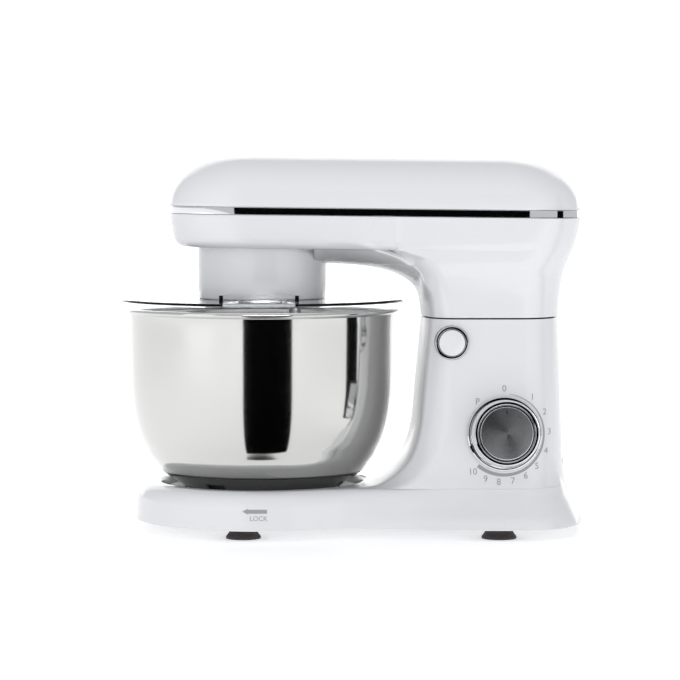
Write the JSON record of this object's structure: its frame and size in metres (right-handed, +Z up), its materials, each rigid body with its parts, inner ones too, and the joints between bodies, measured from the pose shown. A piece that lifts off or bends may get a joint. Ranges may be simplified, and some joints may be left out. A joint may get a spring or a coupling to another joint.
{
  "type": "stand mixer",
  "caption": "Tilt-head kitchen stand mixer with a white C-shaped body, planetary beater, steel bowl, clear splash guard, side speed knob and head release button.",
  "frame": {"origin": "on the table under the middle of the machine's overall box", "axes": "-X is the way the head points, -Y is the side with the speed knob, +Z is up"},
  "size_m": [0.368, 0.226, 0.2979],
  "materials": {
    "white_gloss": "glossy white moulding",
    "white_matt": "satin white moulding",
    "chrome": "bright plated",
    "bowl_steel": "polished inside, finely brushed outside",
    "machined_steel": "machined",
    "knob_aluminium": "turned, circular grain",
    "cast_metal": "as cast",
    "copper": "enamelled winding wire and copper bars",
    "clear_plastic": "clear moulding",
    "rubber": "soft black",
    "black_plastic": "satin black",
    "nylon": "natural nylon",
    "circuit_board": "green laminate"
  },
  "bodies": {
    "base": {"base_housing": "white_gloss", "base_plate": "white_matt", "foot_front_left": "rubber", "foot_front_right": "rubber", "foot_rear_left": "rubber", "foot_rear_right": "rubber", "bowl_socket": "white_matt", "hinge_arm": "cast_metal", "hinge_pin": "machined_steel", "latch_bracket": "cast_metal", "button_bezel": "chrome", "button_spring": "machined_steel", "button_guide": "black_plastic", "dial_bezel": "chrome", "speed_switch": "black_plastic", "control_board": "circuit_board", "cord_gland": "black_plastic"},
    "button": {"release_button": "white_gloss"},
    "knob": {"speed_knob": "chrome", "knob_face": "knob_aluminium", "knob_shaft": "machined_steel"},
    "head": {"head_housing": "white_gloss", "trim_band": "chrome", "head_cover": "white_gloss", "ring_gear": "cast_metal", "gear_case": "cast_metal", "gear_bridge": "cast_metal", "drive_belt": "rubber", "motor_stator": "cast_metal", "field_winding_lower": "copper", "field_winding_upper": "copper", "carbon_brush_left": "black_plastic", "carbon_brush_right": "black_plastic", "head_chassis": "cast_metal", "latch_striker": "machined_steel", "splash_guard": "clear_plastic"},
    "carrier": {"planet_carrier": "machined_steel", "main_shaft": "machined_steel", "main_gear": "nylon"},
    "beater": {"planet_pinion": "machined_steel", "beater_shaft": "machined_steel", "cross_pin": "machined_steel", "flat_beater": "cast_metal"},
    "layshaft": {"layshaft": "machined_steel", "layshaft_pinion": "machined_steel", "big_pulley": "nylon"},
    "rotor": {"motor_rotor": "copper", "motor_shaft": "machined_steel", "commutator": "copper", "cooling_fan": "black_plastic", "motor_pulley": "machined_steel"},
    "bowl": {"mixing_bowl": "bowl_steel", "bowl_foot": "machined_steel"}
  },
  "joints": [
    {"name": "head_tilt", "type": "hinge", "parent": "base", "child": "head", "pos_m": [0.148, 0, 0.2], "axis": [0, 1, 0], "range_deg": [0, 30]},
    {"name": "bowl_twist", "type": "hinge", "parent": "base", "child": "bowl", "pos_m": [-0.071, 0, 0.03], "axis": [0, 0, 1], "range_deg": [0, 25]},
    {"name": "speed_knob_turn", "type": "hinge", "parent": "base", "child": "knob", "pos_m": [0.1195, -0.06673, 0.0806], "axis": [0.0447, -0.9943, 0.0964], "range_deg": [-220, 40]},
    {"name": "release_button_press", "type": "slide", "parent": "base", "child": "button", "axis": [0, 1, 0], "range_m": [0, 0.004], "stiffness_N_per_m": 600, "springref_m": -0.003},
    {"name": "planet_carrier_spin", "type": "hinge", "parent": "head", "child": "carrier", "pos_m": [-0.071, 0, 0.19], "axis": [0, 0, 1], "continuous": true},
    {"name": "beater_spin", "type": "hinge", "parent": "carrier", "child": "beater", "pos_m": [-0.045, 0, 0.19], "axis": [0, 0, 1], "continuous": true},
    {"name": "layshaft_spin", "type": "hinge", "parent": "head", "child": "layshaft", "pos_m": [-0.023, 0, 0.24], "axis": [0, 0, 1], "continuous": true},
    {"name": "motor_spin", "type": "hinge", "parent": "head", "child": "rotor", "pos_m": [0.097, 0, 0.22], "axis": [0, 0, 1], "continuous": true}
  ],
  "couplings": [
    {"joint": "beater_spin", "follows": "planet_carrier_spin", "ratio": -2.8571},
    {"joint": "layshaft_spin", "follows": "planet_carrier_spin", "ratio": -3},
    {"joint": "motor_spin", "follows": "planet_carrier_spin", "ratio": -15}
  ]
}
